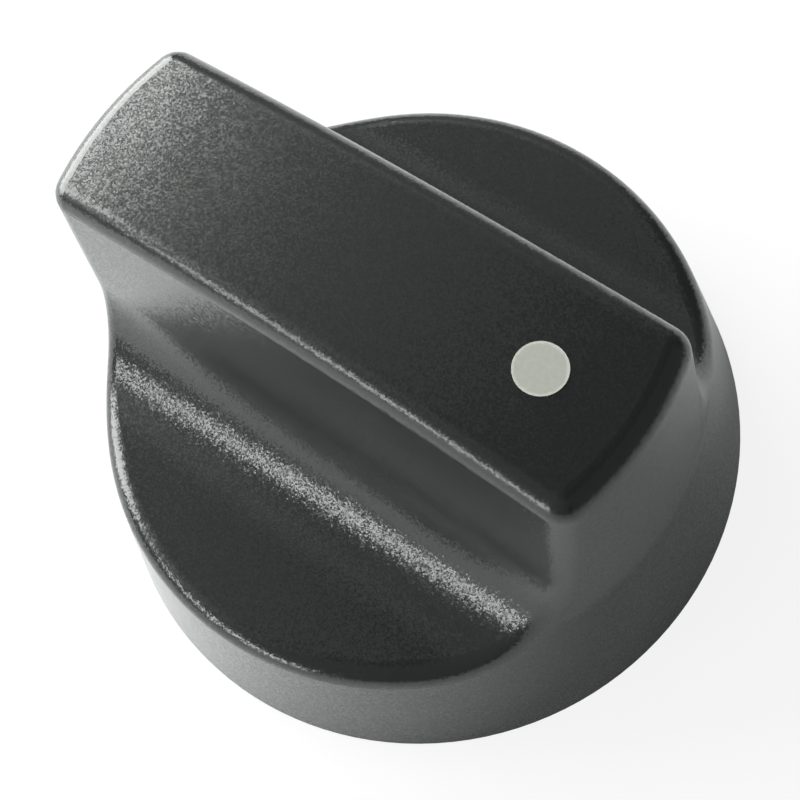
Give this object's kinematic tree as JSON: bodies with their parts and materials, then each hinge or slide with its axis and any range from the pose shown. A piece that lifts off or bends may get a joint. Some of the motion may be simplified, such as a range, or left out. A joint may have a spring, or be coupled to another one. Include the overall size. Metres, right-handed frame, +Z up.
{
  "type": "grill control knob",
  "caption": "Push-on control knob with a flared round skirt, a flat deck and a crowned bar grip with an inlaid pointer dot; hollow below, with a D-shaft hub held by a spring ring.",
  "frame": {"origin": "centre of the skirt's lower rim, in the plane that the knob stands on", "axes": "+Z up through the grip, away from the appliance; +X along the grip towards the pointer dot; the shaft comes in along the Z axis from below"},
  "size_m": [0.045, 0.045, 0.0284],
  "materials": {
    "black_plastic": "fine spark-eroded matt grain",
    "silver_inlay": "satin silver-grey",
    "spring_steel": "bright drawn strip"
  },
  "bodies": {
    "root": {"knob_body": "black_plastic", "pointer_dot": "silver_inlay", "spring_ring": "spring_steel"}
  },
  "joints": []
}
